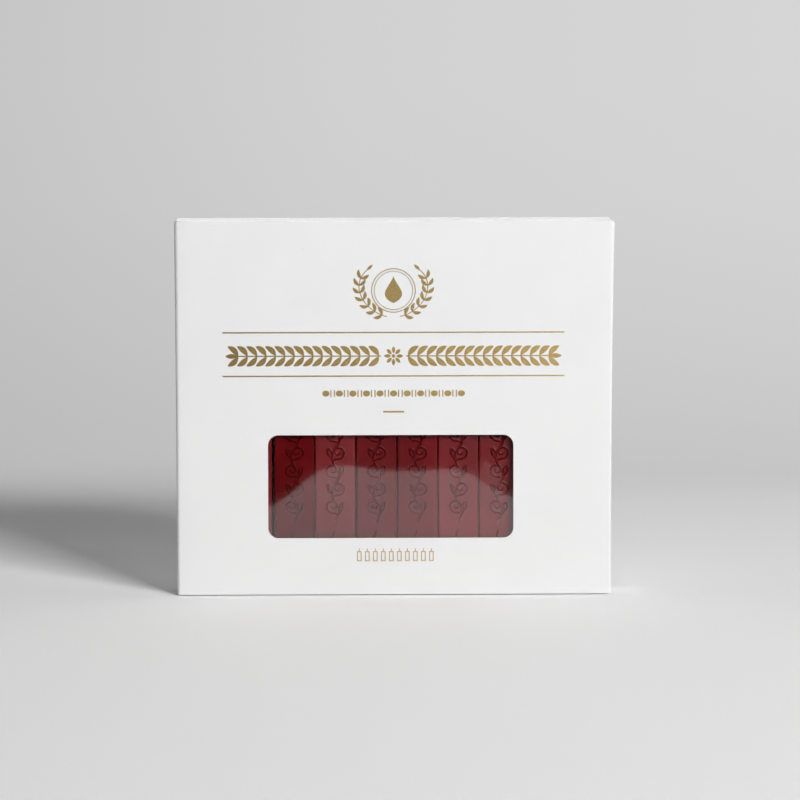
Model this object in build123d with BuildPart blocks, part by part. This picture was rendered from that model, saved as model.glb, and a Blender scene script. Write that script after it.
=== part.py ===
"""Wax seal set box: a folding carton of white board with a film window, holding a row of wax sticks with wicks.

Millimetres, +Z up, the front faces -Y. The origin is the middle of the footprint, on the surface it stands on.
"""

import os

from build123d import *

# --- Sticks and wicks ----------------------------------------------------------------------------------------
stick_count = 10
stick_side = 11.0
stick_gap = 0.15  # between neighbouring sticks
loose_sticks = 2  # sticks at the left end that stand a little apart from the rest
loose_gap = 0.4  # how much further apart
stick_length = 90.0
stick_edge = 0.6  # rounding of a stick's long edges
wick_diameter = 1.6
wick_fit = 0.05  # between a wick and the wax around it
wick_stickout = 8.0  # wick above the top of its stick

# --- Board and the room the carton leaves around the sticks -----------------------------------------------------
board = 0.45  # thickness of the paperboard
fold_radius = 1.2  # outside radius of an upright fold
crease_play = 0.05  # between a folded flap and the edge or flap next to it
left_play = 3.35  # between the row of sticks and the left side panel
right_play = 2.0
tab_play = 0.2  # between the sticks and the seam tab behind them
film_play = 0.95  # between the sticks and the window film before them
head_room = 1.85  # between the wicks and the top dust flaps
glue_tab_width = 11.0  # seam tab, glued inside the back panel
glue_tab_taper = 3.0  # how far the tab's free edge is cut back at each end

# --- Window --------------------------------------------------------------------------------------------------
window_width = 66.6
window_height = 28.2
window_corner = 2.85
window_shift = -0.8  # the window's middle from the carton's middle, along X
window_bottom = 15.55  # the window's lower edge above the carton's foot
film = 0.2  # thickness of the film
film_margin = 5.0  # how far the film laps the board around the window
film_corner = 1.0

# --- Closures, the same at the top and at the bottom -----------------------------------------------------------
closure_side_gap = 0.7  # closure panel inside the carton's width, each side
closure_edge = 0.4  # rounding of the closure's outer edge along its crease
tuck_fold_radius = 0.8  # outside radius of the fold between a closure panel and its tuck flap
tuck_play = 0.1  # between the tuck flap and the inside of the front panel
tuck_length = 10.0  # from the closure's outer face to the tuck flap's free edge
tuck_side_gap = 1.6  # tuck flap inside the carton's width, each side
tuck_corner = 4.0  # rounding of the tuck flap's free corners
dust_length = 14.0  # from the side panel's outer face to the dust flap's free edge
dust_front_play = 0.25  # between the dust flap and the tuck flap before it
dust_rear_gap = 2.5  # dust flap in front of the back panel's outer face, at its crease
dust_rear_taper = 4.2  # how far the rear edge runs forward over the flap's length
dust_front_taper = 1.0
dust_corner = 1.5

# --- Worked out ----------------------------------------------------------------------------------------------
closure_seat = board + crease_play  # the sleeve's end is cut down this far under a closure panel
dust_seat = closure_seat + board + crease_play  # and this far under a dust flap
row_width = stick_count * stick_side + (stick_count - 1) * stick_gap + loose_gap
inner_width = left_play + row_width + right_play
inner_depth = board + tab_play + stick_side + film_play + film
carton_width = inner_width + 2 * board
carton_depth = inner_depth + 2 * board
carton_height = dust_seat + stick_length + wick_stickout + head_room + dust_seat
mid_height = carton_height / 2
front_face = -carton_depth / 2
back_face = carton_depth / 2
inner_radius = fold_radius - board
tuck_front = front_face + board + tuck_play
dust_root_front = tuck_front + board + dust_front_play
dust_root_rear = back_face - dust_rear_gap
stick_base = dust_seat  # the sticks stand on the bottom dust flaps
stick_y = front_face + board + film + film_play + stick_side / 2
window_middle = window_bottom + window_height / 2

os.makedirs("parts", exist_ok=True)


def write(part, name):
    part.label = name
    export_step(part, f"parts/{name}.step")


# --- Carton sleeve: four panels in one sheet, open at both ends -------------------------------------------------
with BuildPart() as carton_sleeve:
    with BuildSketch(Plane.XY):
        RectangleRounded(carton_width, carton_depth, fold_radius)
        RectangleRounded(inner_width, inner_depth, inner_radius, mode=Mode.SUBTRACT)
    extrude(amount=carton_height)
    # The window, through the front panel
    with BuildSketch(Plane.XZ.offset(-front_face)):
        with Locations((window_shift, window_middle)):
            RectangleRounded(window_width, window_height, window_corner)
    extrude(amount=-board, mode=Mode.SUBTRACT)
    # At each end every panel but the front one stops under the closure panel
    for height in (closure_seat / 2, carton_height - closure_seat / 2):
        with Locations((0, front_face + board, height)):
            Box(
                carton_width,
                carton_depth - board,
                closure_seat,
                align=(Align.CENTER, Align.MIN, Align.CENTER),
                mode=Mode.SUBTRACT,
            )
    # and the side panels stop lower still, under the roots of the dust flaps
    dust_root_middle = (dust_root_front + dust_root_rear) / 2
    for side in (-1, 1):
        for height in (dust_seat / 2, carton_height - dust_seat / 2):
            with Locations((side * (carton_width - board) / 2, dust_root_middle, height)):
                Box(
                    board,
                    dust_root_rear - dust_root_front + 2 * crease_play,
                    dust_seat,
                    mode=Mode.SUBTRACT,
                )
    # The seam tab runs from the right side panel's rear fold, glued to the inside of the back panel
    with BuildSketch(Plane.XZ.offset(-back_face + board)):
        with BuildLine():
            Polyline(
                (inner_width / 2, dust_seat),
                (inner_width / 2 - glue_tab_width, dust_seat + glue_tab_taper),
                (inner_width / 2 - glue_tab_width, carton_height - dust_seat - glue_tab_taper),
                (inner_width / 2, carton_height - dust_seat),
                close=True,
            )
        make_face()
    extrude(amount=board)
write(carton_sleeve.part, "carton_sleeve")

# --- Window film: a clear sheet against the inside of the front panel ---------------------------------------------
with BuildPart() as window_film:
    with BuildSketch(Plane.XZ.offset(-front_face - board)):
        with Locations((window_shift, window_middle)):
            RectangleRounded(
                window_width + 2 * film_margin, window_height + 2 * film_margin, film_corner
            )
    extrude(amount=-film)
write(window_film.part, "window_film")

# --- Top closure panel: turns on the back panel's upper crease ----------------------------------------------------
with BuildPart() as top_closure_panel:
    with Locations((0, tuck_front + tuck_fold_radius, carton_height)):
        Box(
            carton_width - 2 * closure_side_gap,
            back_face - tuck_front - tuck_fold_radius,
            board,
            align=(Align.CENTER, Align.MIN, Align.MAX),
        )
    rear_top_edge = top_closure_panel.edges().filter_by(Axis.X).group_by(Axis.Y)[-1].sort_by(Axis.Z)[-1]
    fillet(rear_top_edge, closure_edge)

# --- Top tuck flap: the closure's front fold and the flap behind the front panel ------------------------------------
with BuildPart() as top_tuck_flap:
    with BuildSketch(Plane.YZ):
        fold_middle = (tuck_front + tuck_fold_radius, carton_height - tuck_fold_radius)
        with BuildLine():
            outer_fold = CenterArc(fold_middle, tuck_fold_radius, 90, 90)
            inner_fold = CenterArc(fold_middle, tuck_fold_radius - board, 90, 90)
            Polyline(
                outer_fold @ 1,
                (tuck_front, carton_height - tuck_length),
                (tuck_front + board, carton_height - tuck_length),
                inner_fold @ 1,
            )
            Line(outer_fold @ 0, inner_fold @ 0)
        make_face()
    extrude(amount=carton_width / 2 - tuck_side_gap, both=True)
    lower_corners = top_tuck_flap.edges().filter_by(Axis.Y).group_by(Axis.Z)[0]
    fillet(lower_corners, tuck_corner)


# --- Top dust flaps: tapered flaps that turn on the side panels' upper creases --------------------------------------
def dust_flap(side):
    """Outline of a top dust flap; side is -1 on the left and 1 on the right."""
    root = side * carton_width / 2
    tip = side * (carton_width / 2 - dust_length)
    with BuildPart() as flap:
        with BuildSketch(Plane.XY.offset(carton_height - closure_seat)):
            with BuildLine():
                Polyline(
                    (root, dust_root_front),
                    (tip, dust_root_front + dust_front_taper),
                    (tip, dust_root_rear - dust_rear_taper),
                    (root, dust_root_rear),
                    close=True,
                )
            make_face()
        extrude(amount=-board)
        tip_corners = flap.edges().filter_by(Axis.Z).sort_by(Axis.X, reverse=side > 0)[-2:]
        fillet(tip_corners, dust_corner)
    return flap.part


top_parts = {
    "top_closure_panel": top_closure_panel.part,
    "top_tuck_flap": top_tuck_flap.part,
    "top_dust_flap_left": dust_flap(-1),
    "top_dust_flap_right": dust_flap(1),
}

# --- Bottom closure: the same four pieces, mirrored about the carton's middle ---------------------------------------
for name, top_part in top_parts.items():
    write(top_part, name)
    with BuildPart() as bottom_part:
        mirror(top_part, about=Plane.XY.offset(mid_height))
    write(bottom_part.part, name.replace("top_", "bottom_"))

# --- Wax sticks, each cast around its wick --------------------------------------------------------------------------
last_stick_x = inner_width / 2 - right_play - stick_side / 2
for number in range(1, stick_count + 1):
    stick_x = last_stick_x - (stick_count - number) * (stick_side + stick_gap)
    if number <= loose_sticks:
        stick_x -= loose_gap
    with BuildPart() as wax_stick:
        with BuildSketch(Plane.XY.offset(stick_base)):
            with Locations((stick_x, stick_y)):
                RectangleRounded(stick_side, stick_side, stick_edge)
                Circle(wick_diameter / 2 + wick_fit, mode=Mode.SUBTRACT)
        extrude(amount=stick_length)
    write(wax_stick.part, f"wax_stick_{number:02d}")

    with BuildPart() as wick:
        with BuildSketch(Plane.XY.offset(stick_base)):
            with Locations((stick_x, stick_y)):
                Circle(wick_diameter / 2)
        extrude(amount=stick_length + wick_stickout)
    write(wick.part, f"wick_{number:02d}")
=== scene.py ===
"""Looks of the wax seal set box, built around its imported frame.

The carton's lengths are millimetres until a mesh is made; materials, stage and lamps are in metres.
"""

import math

import bpy
from mathutils import Matrix, Vector
from mathutils.geometry import delaunay_2d_cdt
from mathutils.kdtree import KDTree


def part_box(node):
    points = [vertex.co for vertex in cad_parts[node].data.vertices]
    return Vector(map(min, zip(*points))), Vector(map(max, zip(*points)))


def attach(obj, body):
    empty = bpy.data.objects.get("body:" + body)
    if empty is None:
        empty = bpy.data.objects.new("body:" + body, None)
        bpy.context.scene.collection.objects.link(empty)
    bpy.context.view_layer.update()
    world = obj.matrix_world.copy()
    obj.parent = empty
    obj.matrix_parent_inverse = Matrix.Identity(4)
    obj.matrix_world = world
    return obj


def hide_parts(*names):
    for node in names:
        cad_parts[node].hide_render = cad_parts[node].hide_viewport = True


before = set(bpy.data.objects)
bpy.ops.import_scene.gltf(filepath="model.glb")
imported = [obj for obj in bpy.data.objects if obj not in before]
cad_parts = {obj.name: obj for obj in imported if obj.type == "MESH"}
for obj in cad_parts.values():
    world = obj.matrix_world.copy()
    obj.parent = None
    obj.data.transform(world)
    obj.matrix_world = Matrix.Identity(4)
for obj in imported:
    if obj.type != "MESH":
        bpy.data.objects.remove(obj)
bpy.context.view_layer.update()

MM = 0.001

# --- Sizes, most of them taken from the frame


def node_box(node):
    """Lowest and highest corner of a CAD node, in millimetres."""
    low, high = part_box(node)
    return low / MM, high / MM


STICKS = sorted(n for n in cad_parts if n.startswith("wax_stick_"))
WICKS = sorted(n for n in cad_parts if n.startswith("wick_"))

CLOSURE_LOW, CLOSURE_HIGH = node_box("top_closure_panel")
TUCK_LOW, TUCK_HIGH = node_box("top_tuck_flap")
DUST_LOW, DUST_HIGH = node_box("top_dust_flap_right")
FILM_LOW, FILM_HIGH = node_box("window_film")
STICK_LOW, STICK_HIGH = node_box(STICKS[0])

HALF_WIDTH, HALF_DEPTH, HEIGHT = node_box("carton_sleeve")[1]
BOARD = CLOSURE_HIGH.z - CLOSURE_LOW.z
CLOSURE_SEAT = HEIGHT - DUST_HIGH.z  # the sleeve's end is this low under a closure panel
DUST_SEAT = HEIGHT - DUST_LOW.z + (CLOSURE_SEAT - BOARD)  # and this low under a dust flap
FOLD_RADIUS = 1.2
TUCK_FOLD_RADIUS = 0.8

WINDOW_WIDTH, WINDOW_HEIGHT, WINDOW_CORNER = 66.6, 28.2, 2.85
WINDOW_X = (FILM_LOW.x + FILM_HIGH.x) / 2
WINDOW_Z = (FILM_LOW.z + FILM_HIGH.z) / 2

# --- Shape helpers


def steps(low, high, count):
    """Even steps from low to high, both included."""
    return [low + (high - low) * i / count for i in range(count + 1)]


def ease(t):
    """0 up to t = 0, 1 from t = 1, and a soft rise between."""
    t = min(max(t, 0.0), 1.0)
    return t * t * (3 - 2 * t)


def between(start, end, share):
    """The point that lies a share of the way from start to end."""
    return tuple(a + (b - a) * share for a, b in zip(start, end))


def unit(angle):
    """Cosine and sine of an angle in degrees."""
    return math.cos(math.radians(angle)), math.sin(math.radians(angle))


def polar(centre, radius, angle):
    """The point of a circle at an angle in degrees."""
    cos, sin = unit(angle)
    return centre[0] + radius * cos, centre[1] + radius * sin


def beside(place, behind, ahead, offset):
    """The point at an offset to the left of a place on a line that runs from behind to ahead."""
    dx, dy = ahead[0] - behind[0], ahead[1] - behind[1]
    length = math.hypot(dx, dy)
    return place[0] - offset * dy / length, place[1] + offset * dx / length


# --- Camera, as the photograph was taken
PHOTO_SIDE = 800
FOCAL_PIXELS = 5000.0
SENSOR = 36.0
CAMERA_AT = (-15.9, -1353.7, 202.7)
CAMERA_YAW, CAMERA_PITCH, CAMERA_ROLL = -0.75, 6.33, -0.09  # degrees; the pitch is downward
CAMERA_SIGHT = 20  # metres


def make_camera():
    camera = bpy.data.objects.new("camera", bpy.data.cameras.new("camera"))
    camera.data.sensor_width = SENSOR
    camera.data.lens = FOCAL_PIXELS / PHOTO_SIDE * SENSOR
    camera.data.clip_end = CAMERA_SIGHT
    stand = Matrix.Translation(Vector(CAMERA_AT) * MM)
    for angle, axis in ((CAMERA_YAW, "Z"), (90 - CAMERA_PITCH, "X"), (CAMERA_ROLL, "Z")):
        stand @= Matrix.Rotation(math.radians(angle), 4, axis)
    camera.matrix_world = stand
    bpy.context.scene.collection.objects.link(camera)
    bpy.context.scene.camera = camera


# --- Materials


def rgba(colour):
    """Four channels from three, or from one grey level."""
    return (*colour, 1) if isinstance(colour, tuple) else (colour, colour, colour, 1)


class Graph:
    """The emptied node tree of a material or world, with short ways to add its nodes."""

    def __init__(self, owner):
        owner.use_nodes = True
        self.owner = owner
        self.nodes, self.links = owner.node_tree.nodes, owner.node_tree.links
        self.nodes.clear()

    def add(self, kind, inputs, **settings):
        """Adds a node and returns its outputs; an input is a value, or the output that feeds it."""
        node = self.nodes.new("ShaderNode" + kind)
        for name, setting in settings.items():
            setattr(node, name, setting)
        for key, source in inputs.items():
            socket = node.inputs[key]
            if isinstance(source, bpy.types.NodeSocket):
                self.links.new(source, socket)
            else:
                socket.default_value = rgba(source) if socket.type == "RGBA" else source
        return node.outputs

    def math(self, operation, *values):
        return self.add("Math", dict(enumerate(values)), operation=operation)["Value"]

    def mix_colours(self, factor, low, high, blend="MIX"):
        return self.add("Mix", {0: factor, 6: low, 7: high}, data_type="RGBA", blend_type=blend)[2]

    def mix_shaders(self, factor, low, high):
        return self.add("MixShader", {0: factor, 1: low, 2: high})["Shader"]

    def axes(self, kind="Object"):
        """The X, Y and Z outputs of a kind of coordinates."""
        return self.add("SeparateXYZ", {"Vector": self.add("TexCoord", {})[kind]})

    def remap(self, value, start=(0, 1), end=(0, 1), kind="LINEAR"):
        """Maps a value from the range start to the range end."""
        limits = {"From Min": start[0], "From Max": start[1], "To Min": end[0], "To Max": end[1]}
        return self.add("MapRange", {"Value": value, **limits}, interpolation_type=kind)["Result"]

    def ramp(self, factor, *stops):
        """A colour ramp; its stops are (place, colour)."""
        colour = self.add("ValToRGB", {"Fac": factor})["Color"]
        elements = colour.node.color_ramp.elements
        for element, (place, shade) in zip(elements, (stops[0], stops[-1])):
            element.position = place
            element.color = rgba(shade)
        for place, shade in stops[1:-1]:
            elements.new(place).color = rgba(shade)
        return colour

    def noise(self, scale, detail, roughness=0.5, stretch=None):
        """Noise on object coordinates; scale is waves per metre, stretch scales the axes."""
        place = self.add("TexCoord", {})["Object"]
        if stretch:
            place = self.add("Mapping", {"Vector": place, "Scale": stretch})["Vector"]
        inputs = {"Vector": place, "Scale": scale, "Detail": detail, "Roughness": roughness}
        return self.add("TexNoise", inputs)["Fac"]

    def specks(self, scale, size):
        """1 in a few small round spots, 0 elsewhere; scale is cells per metre, size in cell widths."""
        place = self.add("TexCoord", {})["Object"]
        cells = self.add("TexVoronoi", {"Vector": place, "Scale": scale, "Randomness": 1.0})
        return self.remap(cells["Distance"], (size, size * 0.5))

    def bump(self, height, depth, under=None):
        """The normals of a relief depth metres high; under is the normals of a coarser one below it."""
        inputs = {"Height": height, "Strength": 1.0, "Distance": depth}
        if under is not None:
            inputs["Normal"] = under
        return self.add("Bump", inputs)["Normal"]

    def principled(self, **inputs):
        """A Principled shader; its inputs are named with underscores for spaces."""
        return self.add("BsdfPrincipled", {name.replace("_", " "): inputs[name] for name in inputs})["BSDF"]

    def surface(self, shader, kind="OutputMaterial"):
        """Makes a shader the surface, and returns what the tree belongs to."""
        self.add(kind, {"Surface": shader})
        return self.owner


def new_graph(name):
    return Graph(bpy.data.materials.new(name))


def board_outside(name, specular, wave):
    """White coated face of the board: very even, faintly mottled, with a soft gloss; wave is in metres."""
    graph = new_graph(name)
    mottle = graph.ramp(graph.noise(60, 4), (0.3, (0.734, 0.735, 0.734)), (0.7, (0.752, 0.752, 0.751)))
    fine = graph.noise(1800, 4)
    waves = graph.bump(graph.noise(90, 2), wave)
    return graph.surface(graph.principled(
        Base_Color=graph.mix_colours(graph.specks(130, 0.018), mottle, (0.47, 0.46, 0.44)),
        Roughness=graph.remap(fine, end=(0.34, 0.42)),
        Specular_IOR_Level=specular,
        Normal=graph.bump(fine, 0.000002, waves),
    ))


def matt(name, noise, dark, light, depth, **shader):
    """A matt material whose tone and relief follow one fine noise; depth is in metres."""
    graph = new_graph(name)
    fine = graph.noise(*noise)
    colour = graph.ramp(fine, (0.3, dark), (0.7, light))
    return graph.surface(graph.principled(Base_Color=colour, Normal=graph.bump(fine, depth), **shader))


def board_inside():
    """Uncoated face of the board: greyer, with short fibres."""
    dark, light = (0.60, 0.59, 0.565), (0.70, 0.695, 0.67)
    fibres = (1500, 5, 0.7, (1, 1, 0.35))
    return matt("board_inside", fibres, dark, light, 0.00001, Roughness=0.85, Specular_IOR_Level=0.2)


def board_edge():
    """Cut edge of the board: the bare core between its two faces."""
    dark, light = (0.66, 0.645, 0.61), (0.78, 0.77, 0.745)
    return matt("board_edge", (4000, 4, 0.7), dark, light, 0.00001, Roughness=0.9, Specular_IOR_Level=0.15)


def cotton():
    dark, light = (0.62, 0.58, 0.50), (0.84, 0.81, 0.74)
    fibres = (5000, 5, 0.7, (1, 1, 0.4))
    finish = {"Roughness": 0.95, "Specular_IOR_Level": 0.1, "Sheen_Weight": 0.2}
    return matt("cotton_wick", fibres, dark, light, 0.00006, **finish)


GOLD_SHADE_REACH = 0.046  # metres from the middle to where the painted shade and light across the gold end


def gold_foil():
    """Hot-stamped foil: muted gold with painted shade and light across it, darker towards the left and
    brighter to the right, and a fine grain from the board under it.
    """
    graph = new_graph("gold_foil")
    across = graph.remap(graph.axes()["X"], (-GOLD_SHADE_REACH, GOLD_SHADE_REACH))
    # painted shade and light: the gold darkens to the left and brightens to the right, as light falls from
    # the right
    tone = graph.ramp(across, (0, (0.70, 0.68, 0.66)), (0.35, 0.90), (0.6, 0.98), (1, (1.16, 1.16, 1.20)))
    grain = graph.noise(2600, 4, 0.6)
    gold = graph.ramp(grain, (0.3, (0.545, 0.385, 0.150)), (0.7, (0.69, 0.505, 0.22)))
    return graph.surface(graph.principled(
        Base_Color=graph.mix_colours(1.0, gold, tone, "MULTIPLY"),
        Metallic=1.0,
        Roughness=graph.remap(grain, end=(0.36, 0.5)),
        Normal=graph.bump(grain, 0.000012),
    ))


def sealing_wax(name, specular, tint, pale):
    """Dark red wax: satin, with a slow change of tone, a faint cast grain and a few pale specks."""
    graph = new_graph(name)
    reds = ((0.28, 0.105, 0.0030, 0.0055), (0.5, 0.138, 0.0042, 0.0070), (0.75, 0.18, 0.0075, 0.0100))
    stops = [(place, (red * tint, green * pale, blue * pale)) for place, red, green, blue in reds]
    tone = graph.ramp(graph.noise(70, 3, 0.5, (1, 1, 0.35)), *stops)
    grain = graph.noise(900, 4, 0.6)
    coarse = graph.bump(graph.noise(260, 3), 0.00006)
    return graph.surface(graph.principled(
        Base_Color=graph.mix_colours(graph.specks(170, 0.05), tone, (0.42, 0.16, 0.15)),
        Roughness=graph.remap(grain, end=(0.32, 0.48)),
        Specular_IOR_Level=specular,
        Normal=graph.bump(grain, 0.00002, coarse),
    ))


FILM_INDEX = 1.63
FILM_ROUGHNESS = 0.03


def clear_film():
    """Clear plastic sheet: sight goes straight through but for what its two faces reflect."""
    graph = new_graph("clear_film")
    backfacing = graph.add("NewGeometry", {})["Backfacing"]
    index = graph.remap(backfacing, end=(FILM_INDEX, 1 / FILM_INDEX))
    fresnel = graph.add("Fresnel", {"IOR": index})["Fac"]
    clear = graph.add("BsdfTransparent", {"Color": 0.985})["BSDF"]
    gloss = graph.principled(Base_Color=1, Metallic=1, Roughness=FILM_ROUGHNESS)
    return graph.surface(graph.mix_shaders(fresnel, clear, gloss))


BOARD_FACES = [board_outside("board_outside", 0.3, 0.00002), board_inside(), board_edge()]
CLOSURE_OUTSIDE = board_outside("board_outside_closure", 0.0, 0.000003)  # matt, as it is seen at a low angle
FOIL, COTTON, FILM = gold_foil(), cotton(), clear_film()
# copies of one wax that differ in tint as well as gloss: the dull one is darker and the satin one lighter
# than the even one
DULL = sealing_wax("sealing_wax_dull", 0.03, 0.8, 0.45)
EVEN = sealing_wax("sealing_wax_even", 0.16, 1.08, 1.1)
SATIN = sealing_wax("sealing_wax_satin", 0.42, 1.28, 1.2)
STICK_WAX = [EVEN, EVEN, DULL, SATIN, EVEN, EVEN, SATIN, SATIN, DULL, EVEN]  # from the left

# --- Meshes
SMOOTH_BELOW = math.radians(32)


def new_object(name, vertices, faces, materials, picks=None):
    """A smooth mesh object from points in metres; picks is each face's material, if not the first."""
    mesh = bpy.data.meshes.new(name)
    mesh.from_pydata(vertices, [], faces)
    for material in materials:
        mesh.materials.append(material)
    if picks:
        mesh.polygons.foreach_set("material_index", picks)
    mesh.polygons.foreach_set("use_smooth", [True] * len(faces))
    mesh.set_sharp_from_angle(angle=SMOOTH_BELOW)
    mesh.update()
    thing = bpy.data.objects.new(name, mesh)
    bpy.context.scene.collection.objects.link(thing)
    return thing


def add_piece(name, vertices, faces, materials, body, replaces=(), picks=None):
    """Makes a piece from points in millimetres and hangs it on its body."""
    piece = new_object(name, [Vector(v) * MM for v in vertices], faces, materials, picks)
    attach(piece, body)
    if replaces:
        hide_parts(*replaces)


def join_rows(base, rows, count, closed):
    """Quads between neighbouring rows of count points each, the first of which is number base."""
    faces = []
    for start in range(base, base + (rows - 1) * count, count):
        for i in range(count if closed else count - 1):
            j = (i + 1) % count
            faces.append((start + i, start + j, start + count + j, start + count + i))
    return faces


def add_sheet(name, grids, materials, body, replaces=()):
    """Makes a piece of even thickness from grids: rows of corners, each a point of either face.

    Corners at one place are one corner, and every edge that only one quad uses becomes a cut edge. The
    materials are those of the outer face, the inner face and the cut edge.
    """
    corners, numbers, quads = [], {}, []

    def number(corner):
        key = tuple(round(c * 1e4) for point in corner for c in point)
        if key not in numbers:
            numbers[key] = len(corners)
            corners.append(corner)
        return numbers[key]

    for rows in grids:
        table = [[number(corner) for corner in row] for row in rows]
        for low, high in zip(table, table[1:]):
            quads += zip(low, low[1:], high[1:], high)
    count = len(corners)
    backs = [tuple(i + count for i in reversed(quad)) for quad in quads]
    ways = {}
    for quad in quads:
        for way in zip(quad, quad[1:] + quad[:1]):
            ways.setdefault(frozenset(way), []).append(way)
    cuts = [(b, a, a + count, b + count) for (a, b), *others in ways.values() if not others]
    picks = [0] * len(quads) + [1] * len(backs) + [2] * len(cuts)
    vertices = [outer for outer, _ in corners] + [inner for _, inner in corners]
    add_piece(name, vertices, quads + backs + cuts, materials, body, replaces, picks)


# --- Carton sleeve
LEFT_FRONT_RADIUS, RIGHT_FRONT_RADIUS = 1.0, 0.5
RIGHT_FLARE, LEFT_FLARE = 1.2, 0.28  # how far the side panels stand out at their tops
RIGHT_STAND, LEFT_STAND = 0.10, -0.04  # and at their feet
FOLD_SHARE = 0.25  # the folds take this share of a side panel's flare
FRONT_BOW, BACK_BOW = 0.25, 0.15
FRONT_RIPPLE = 0.25  # share of the front panel's bow
FRONT_FOOT = 0.1  # the front panel ends this far above the bottom closure's face
FRONT_KEEP = 78  # degrees of the front folds that stand at full height
STEP_WIDTH = 0.03  # where the side panel's end drops to the dust flap's crease
UPRIGHT_ROWS, FOLD_STEPS = 44, 8

LIP_HEIGHT = 0.45  # how high a side panel's end bends in to the dust flap's crease
LIP_PAST, LIP_LEAST = 0.02, 0.05  # how far it bends in past the sleeve's flat side, and at least
LIP_INNER_HEIGHT, LIP_INNER_SHARE = 0.02, 0.9  # its inner face rises and bends in less

FRONT_RINGS, FRONT_SPREAD = 12, 1.5  # rings of quads round the window, closer together near it
FRONT_STEPS = 60  # along the panel's foot and top
CORNER_SHARE = 0.14  # half a window corner takes this share of a side's steps


def side_bow(side, y, z):
    """How far a side panel stands out from its flat place: most just behind its front fold."""
    share = min(max((y + HALF_DEPTH) / (2 * HALF_DEPTH), 0.0), 1.0)
    across = FOLD_SHARE + (1 - FOLD_SHARE) * math.sin(math.pi * share**0.6) ** 0.8
    rise = (z / HEIGHT) ** 2.5
    flare, stand = (RIGHT_FLARE, RIGHT_STAND) if side > 0 else (LEFT_FLARE, LEFT_STAND)
    return flare * rise * across + stand * (1 - rise)


def front_bow(x, z):
    """How far the front panel stands out from its flat place."""
    across = math.cos(math.pi * x / (2 * HALF_WIDTH))
    ripple = FRONT_RIPPLE * math.sin(x * 0.055 + 0.8) * math.sin(z * 0.07 + 0.3)
    return FRONT_BOW * across * (math.sin(math.pi * z / HEIGHT) + ripple)


def back_bow(x, z):
    return BACK_BOW * math.cos(math.pi * x / (2 * HALF_WIDTH)) * math.sin(math.pi * z / HEIGHT)


def sleeve_point(x, y, normal, z, inset):
    """A point at height z, inset from the outer face, which passes through x, y with this normal."""
    bow = front_bow(x, z) if normal[1] < 0 else back_bow(x, z)
    return x - normal[0] * (inset - side_bow(normal[0], y, z)), y - normal[1] * (inset - bow), z


def front_point(x, z, proud=0.0):
    """A point on the flat of the front panel's outer face, or proud of it."""
    return sleeve_point(x, -HALF_DEPTH, (0, -1), z, -proud)


def column(x, y, normal, cut):
    """Points from foot to top of one upright line of the sleeve; cut shortens it at both ends."""
    return [
        (sleeve_point(x, y, normal, z, 0), sleeve_point(x, y, normal, z, BOARD))
        for z in steps(max(cut, FRONT_FOOT), HEIGHT - cut, UPRIGHT_ROWS)
    ]


def fold_columns(side_x, side_y, radius, first):
    """Columns round the quarter fold at one corner, from its first angle; 0 faces +X and 270 the front."""
    core = (side_x * (HALF_WIDTH - radius), side_y * (HALF_DEPTH - radius))
    columns = []
    for angle in steps(first, first + 90, FOLD_STEPS):
        from_front = min(abs(angle - 270), abs(angle + 90))
        cut = 0.0 if from_front <= FRONT_KEEP else CLOSURE_SEAT
        columns.append((*polar(core, radius, angle), unit(angle), cut))
    return columns


def side_columns(side, front_radius):
    """Columns from the front fold to the rear fold; the middle is lower, where the dust flap's lip starts."""
    front, rear = -HALF_DEPTH + front_radius, HALF_DEPTH - FOLD_RADIUS
    low, high = DUST_LOW.y - STEP_WIDTH, DUST_HIGH.y + STEP_WIDTH
    run = [(y, CLOSURE_SEAT) for y in steps(front, low, 2)]
    run += [(y, DUST_SEAT) for y in steps(low + STEP_WIDTH, high - STEP_WIDTH, 12)]
    run += [(y, CLOSURE_SEAT) for y in steps(high, rear, 3)]
    return [(side * HALF_WIDTH, y, (side, 0.0), cut) for y, cut in run]


def lip_row(side, end, y):
    """One bend of a side panel's end, upward from its edge at the top (end 1) or downward (end -1)."""
    start = HEIGHT - DUST_SEAT
    outer_x = HALF_WIDTH + side_bow(side, y, start if end > 0 else HEIGHT - start)
    reach = max(outer_x - HALF_WIDTH + LIP_PAST, LIP_LEAST)
    inner_reach = max(reach - BOARD, LIP_PAST) * LIP_INNER_SHARE
    row = []
    for angle in steps(0, 90, 5):
        cos, sin = unit(angle)
        x, inner_x = outer_x - reach * (1 - cos), outer_x - BOARD - inner_reach * (1 - cos)
        z, inner_z = start + LIP_HEIGHT * sin, start + LIP_INNER_HEIGHT * sin
        if end < 0:
            z, inner_z = HEIGHT - z, HEIGHT - inner_z
        row.append(((side * x, y, z), (side * inner_x, y, inner_z)))
    return row


def window_edge(share, angle, start, end):
    """A point on one side of the window's edge, from the middle of one corner to the middle of the next."""
    if share < CORNER_SHARE:
        return polar(start, WINDOW_CORNER, angle - 45 + 45 * share / CORNER_SHARE)
    if share > 1 - CORNER_SHARE:
        return polar(end, WINDOW_CORNER, angle + 45 * (share - 1 + CORNER_SHARE) / CORNER_SHARE)
    along = (share - CORNER_SHARE) / (1 - 2 * CORNER_SHARE)
    return between(polar(start, WINDOW_CORNER, angle), polar(end, WINDOW_CORNER, angle), along)


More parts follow.
